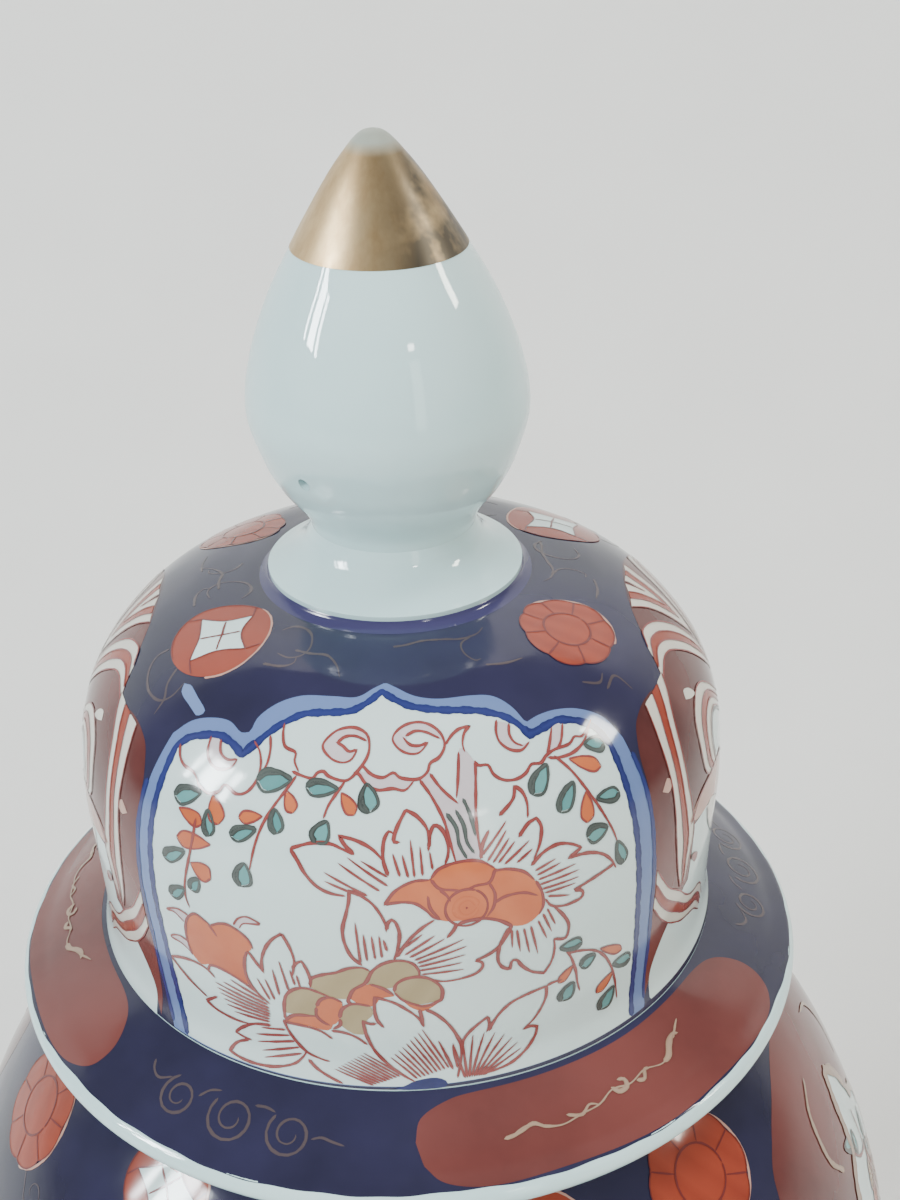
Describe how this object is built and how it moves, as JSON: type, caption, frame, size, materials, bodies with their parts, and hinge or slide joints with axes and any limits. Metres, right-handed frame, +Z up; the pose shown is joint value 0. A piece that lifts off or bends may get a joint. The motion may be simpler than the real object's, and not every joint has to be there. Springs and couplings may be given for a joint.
{
  "type": "ginger jar",
  "caption": "Lidded porcelain jar with a high-shouldered baluster body, an overhanging domed lid and a bud finial, painted in blue, red and gold.",
  "frame": {"origin": "centre of the foot ring's resting face", "axes": "+Z up along the jar's turning axis; the front panel of the lid faces -Y"},
  "size_m": [0.1888, 0.1888, 0.4],
  "materials": {
    "white_glaze": "glossy clear glaze over white porcelain, a little blue-green where it pools",
    "biscuit": "bare fired clay, matt",
    "cobalt_blue": "dark underglaze cobalt, mottled, glossy",
    "light_blue": "thin underglaze blue wash, glossy",
    "iron_red": "brick-red overglaze enamel, satin to glossy",
    "orange_enamel": "thin orange-red overglaze enamel",
    "grey_wash": "thin grey-violet wash",
    "turquoise_enamel": "raised translucent turquoise enamel",
    "dark_line": "fine dark brown-black outline",
    "gilding": "worn fired gold, burnished"
  },
  "bodies": {
    "jar": {"foot_ring": "biscuit", "jar_body": "cobalt_blue", "jar_neck": "white_glaze"},
    "lid": {"lid_flange": "cobalt_blue", "lid_collar": "biscuit", "lid_dome": "white_glaze", "finial_stem": "white_glaze", "finial_bud": "white_glaze"}
  },
  "joints": [
    {"name": "lid_lift", "type": "slide", "parent": "jar", "child": "lid", "axis": [0, 0, 1], "range_m": [0, 0.12]}
  ]
}
